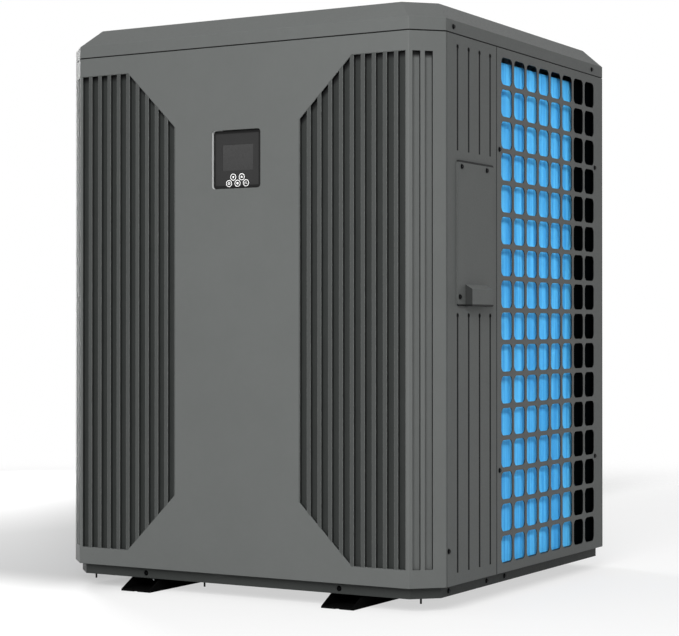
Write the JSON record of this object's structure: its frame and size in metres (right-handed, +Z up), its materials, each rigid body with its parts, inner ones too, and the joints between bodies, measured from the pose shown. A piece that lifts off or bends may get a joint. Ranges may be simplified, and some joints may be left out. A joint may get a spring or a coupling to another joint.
{
  "type": "heat pump unit",
  "caption": "Upright pool heat pump: square folded-sheet cabinet with bevelled corners, fluted front with controller, punched side grilles over a finned coil, fan under a top guard.",
  "frame": {"origin": "on the ground at the centre of the four foot slots", "axes": "+Z up; the front with the controller faces -Y; the service side faces +X and the water connections face -X"},
  "size_m": [0.805, 0.756, 0.974],
  "materials": {
    "casing_paint": "satin powder coat, mid grey",
    "base_paint": "matt powder coat, dark grey",
    "post_paint": "matt dark coat",
    "rail_paint": "matt black coat",
    "galvanised": "galvanised sheet",
    "screw_black": "black oxide",
    "zinc": "bright zinc",
    "guard_wire": "black dipped wire",
    "fan_plastic": "moulded black plastic",
    "motor_paint": "black motor paint",
    "display_plastic": "fine-grained dark plastic",
    "display_lens": "dark clear lens over a blank screen",
    "button_plastic": "dark plastic with white print",
    "circuit_board": "green solder mask",
    "coil_fins": "blue coated fins",
    "copper": "drawn copper",
    "valve_brass": "turned brass",
    "vessel_black": "black enamel",
    "mount_rubber": "moulded rubber",
    "black_plastic": "moulded black plastic",
    "pvc": "grey pipe plastic"
  },
  "bodies": {
    "cabinet": {"accumulator": "vessel_black", "base_bolts": "zinc", "base_pan": "base_paint", "cable_gland": "black_plastic", "casing_screws": "screw_black", "coil_end_plates": "galvanised", "compressor": "vessel_black", "compressor_feet": "mount_rubber", "compressor_terminal_cover": "black_plastic", "control_board": "circuit_board", "controller_board": "circuit_board", "display_housing": "display_plastic", "display_window": "display_lens", "drain_spigot": "black_plastic", "electric_box": "galvanised", "evaporator": "coil_fins", "expansion_valve": "valve_brass", "fan_deck": "galvanised", "fan_guard": "guard_wire", "fan_motor": "motor_paint", "flow_switch": "black_plastic", "foot_rail_left": "rail_paint", "foot_rail_right": "rail_paint", "four_way_valve": "valve_brass", "front_panel": "casing_paint", "grille_left": "casing_paint", "grille_rear": "casing_paint", "grille_right": "casing_paint", "heat_exchanger": "pvc", "inlet_union": "pvc", "lid_screws": "screw_black", "motor_bolts": "zinc", "motor_bracket": "galvanised", "outlet_union": "pvc", "pan_pins": "rail_paint", "partition": "galvanised", "post_front_left": "galvanised", "post_front_right": "galvanised", "post_middle_left": "galvanised", "post_middle_right": "galvanised", "post_rear_left": "post_paint", "post_rear_right": "post_paint", "refrigerant_pipes": "copper", "return_bends": "copper", "service_panel": "casing_paint", "terminal_block": "black_plastic", "top_frame": "galvanised", "top_lid": "casing_paint", "water_panel": "casing_paint", "wiring_cover": "casing_paint"},
    "rotor": {"motor_shaft": "zinc", "fan": "fan_plastic", "fan_nut": "zinc"},
    "button_down_key": {"button_down": "button_plastic"},
    "button_up_key": {"button_up": "button_plastic"},
    "button_power_key": {"button_power": "button_plastic"},
    "button_mode_key": {"button_mode": "button_plastic"},
    "button_timer_key": {"button_timer": "button_plastic"},
    "inlet_nut": {"inlet_union_nut": "pvc"},
    "outlet_nut": {"outlet_union_nut": "pvc"}
  },
  "joints": [
    {"name": "fan_spin", "type": "hinge", "parent": "cabinet", "child": "rotor", "pos_m": [0, 0, 0.9], "axis": [0, 0, 1], "continuous": true},
    {"name": "button_down_press", "type": "slide", "parent": "cabinet", "child": "button_down_key", "axis": [0, 1, 0], "range_m": [0, 0.001], "stiffness_N_per_m": 300},
    {"name": "button_up_press", "type": "slide", "parent": "cabinet", "child": "button_up_key", "axis": [0, 1, 0], "range_m": [0, 0.001], "stiffness_N_per_m": 300},
    {"name": "button_power_press", "type": "slide", "parent": "cabinet", "child": "button_power_key", "axis": [0, 1, 0], "range_m": [0, 0.001], "stiffness_N_per_m": 300},
    {"name": "button_mode_press", "type": "slide", "parent": "cabinet", "child": "button_mode_key", "axis": [0, 1, 0], "range_m": [0, 0.001], "stiffness_N_per_m": 300},
    {"name": "button_timer_press", "type": "slide", "parent": "cabinet", "child": "button_timer_key", "axis": [0, 1, 0], "range_m": [0, 0.001], "stiffness_N_per_m": 300},
    {"name": "inlet_nut_turn", "type": "hinge", "parent": "cabinet", "child": "inlet_nut", "pos_m": [-0.397, -0.196, 0.2], "axis": [-1, 0, 0], "continuous": true},
    {"name": "outlet_nut_turn", "type": "hinge", "parent": "cabinet", "child": "outlet_nut", "pos_m": [-0.397, -0.196, 0.33], "axis": [-1, 0, 0], "continuous": true}
  ]
}
